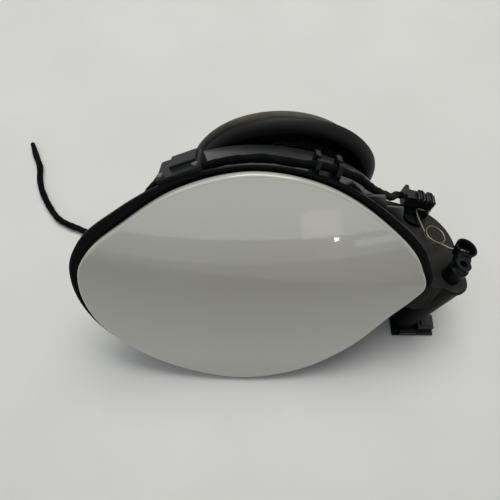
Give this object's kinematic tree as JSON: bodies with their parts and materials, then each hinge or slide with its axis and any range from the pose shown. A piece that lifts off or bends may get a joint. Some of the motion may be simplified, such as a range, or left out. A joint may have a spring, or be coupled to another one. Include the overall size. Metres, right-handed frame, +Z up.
{
  "type": "car fuel door",
  "caption": "Almond-shaped fuel door with a painted skin on a swan-neck hinge, moulded bowl, rubber neck gaiter, toggle spring, electric lock and loom.",
  "frame": {"origin": "middle of the assembly's footprint, on the surface it rests on, the loom's loose tail left out", "axes": "+Z up as it rests on a bench; +Y from the flap back along the filler neck; +X to the hinge side"},
  "size_m": [0.364, 0.218, 0.1527],
  "materials": {
    "skin_paint": "warm off-white gloss paint",
    "carrier_plastic": "moulded, matt",
    "arm_plastic": "moulded, fine grain",
    "bowl_plastic": "moulded, near-black satin",
    "pocket_plastic": "moulded, grey-brown matt",
    "lever_plastic": "moulded, dark slate",
    "bush_plastic": "natural bearing plastic",
    "box_plastic": "moulded, dark grey",
    "plug_plastic": "moulded, dark grey",
    "gaiter_rubber": "soft black, dusty on the crown",
    "seal_rubber": "soft black",
    "zinc_steel": "zinc plated",
    "bright_steel": "ground bright",
    "spring_steel": "tan-grey drawn wire and strip",
    "loom_tape": "black fleece tape, spiral wound",
    "lead_insulation": "thin black insulation"
  },
  "bodies": {
    "root": {"toggle_spring": "spring_steel", "hinge_bushes": "bush_plastic", "bowl": "bowl_plastic", "mouth_seal": "seal_rubber", "bump_stops": "seal_rubber", "gaiter": "gaiter_rubber", "neck_clamp": "bright_steel", "hinge_pocket": "pocket_plastic", "actuator_case": "box_plastic", "actuator_cover": "box_plastic", "actuator_screws": "zinc_steel", "lock_seal": "seal_rubber", "loom_clip": "lever_plastic", "loom_run": "loom_tape", "loom_tail": "loom_tape", "upper_plug": "plug_plastic", "plug_flange": "lever_plastic", "spring_post": "lever_plastic", "lower_plug": "plug_plastic", "plug_cradle": "lever_plastic", "plug_leads": "lead_insulation", "body_clips": "spring_steel"},
    "flap": {"flap_skin": "skin_paint", "flap_carrier": "carrier_plastic", "striker_eye": "zinc_steel", "hinge_arm": "arm_plastic", "arm_screws": "zinc_steel", "hinge_pin": "bright_steel", "pin_clip": "bright_steel", "spring_lever": "lever_plastic"},
    "lock": {"lock_pin": "bright_steel"}
  },
  "joints": [
    {"name": "flap_hinge", "type": "hinge", "parent": "root", "child": "flap", "pos_m": [0.1227, -0.0175, 0.07971], "axis": [0.2636, 0.2064, 0.9423], "range_deg": [0, 85], "deforming": ["toggle_spring"]},
    {"name": "lock_slide", "type": "slide", "parent": "root", "child": "lock", "axis": [0.342, -0.4698, -0.8138], "range_m": [0, 0.008]}
  ]
}
